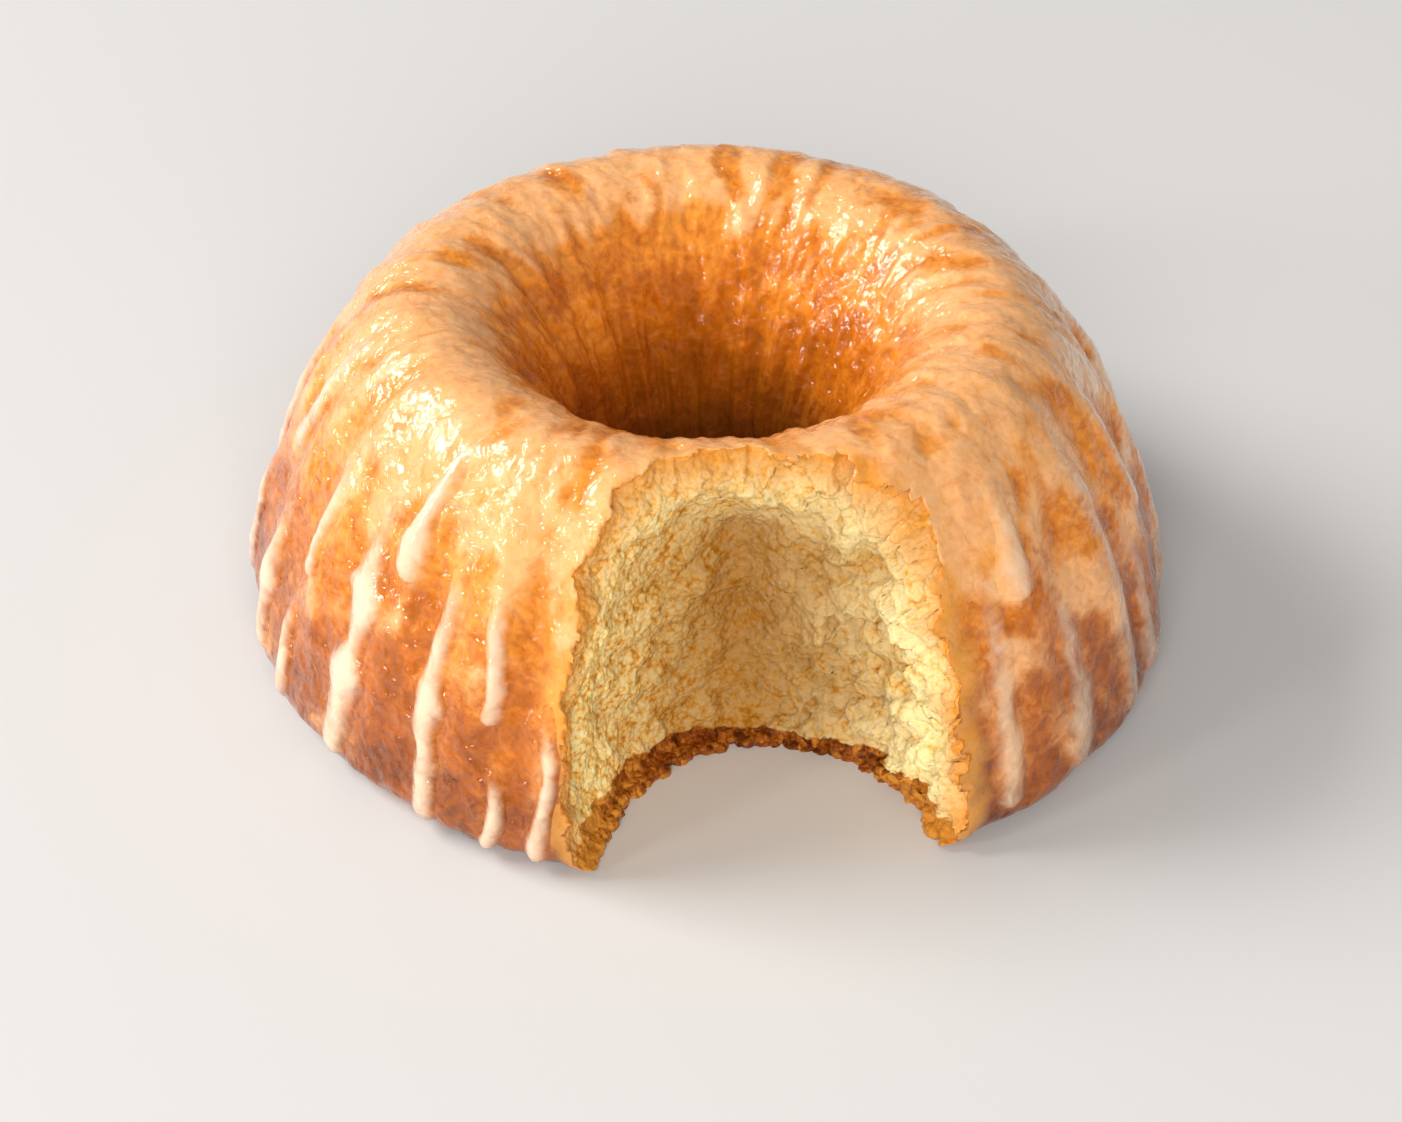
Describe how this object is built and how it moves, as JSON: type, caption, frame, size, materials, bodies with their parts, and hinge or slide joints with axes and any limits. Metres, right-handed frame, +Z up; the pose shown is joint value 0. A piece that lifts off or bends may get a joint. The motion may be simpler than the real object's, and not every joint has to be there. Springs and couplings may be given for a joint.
{
  "type": "bundt cake",
  "caption": "Free-standing ring-shaped bundt cake with set glaze runs, and a torn hollow at the front that shows the yellow crumb and the brown bottom crust.",
  "frame": {"origin": "on the plane that the cake rests on, under the middle of its footprint (cake and glaze together)", "axes": "+Z up out of the crown, -Y the side with the torn hollow, +X to the right of someone facing the hollow"},
  "size_m": [0.2156, 0.207, 0.0798],
  "materials": {
    "cake": "golden to orange-brown baked crust under a thin wet film of glaze; porous yellow crumb where it is torn; browner at the bottom",
    "glaze": "set sugar glaze, milky cream to peach, slightly translucent at its thin edges, glossy"
  },
  "bodies": {
    "root": {"cake": "cake", "glaze_run_01": "glaze", "glaze_run_02": "glaze", "glaze_run_03": "glaze", "glaze_run_04": "glaze", "glaze_run_05": "glaze", "glaze_run_06": "glaze", "glaze_run_07": "glaze", "glaze_run_08": "glaze", "glaze_run_09": "glaze", "glaze_run_10": "glaze", "glaze_run_11": "glaze", "glaze_run_12": "glaze", "glaze_run_13": "glaze", "glaze_run_14": "glaze", "glaze_run_15": "glaze", "glaze_run_16": "glaze", "glaze_run_17": "glaze", "glaze_run_18": "glaze", "glaze_run_19": "glaze", "glaze_run_20": "glaze", "glaze_run_21": "glaze", "glaze_run_22": "glaze", "glaze_run_23": "glaze", "glaze_run_24": "glaze", "glaze_run_25": "glaze", "glaze_run_26": "glaze", "glaze_run_27": "glaze", "glaze_run_28": "glaze", "glaze_run_29": "glaze", "glaze_run_30": "glaze", "glaze_run_31": "glaze", "glaze_run_32": "glaze"}
  },
  "joints": []
}
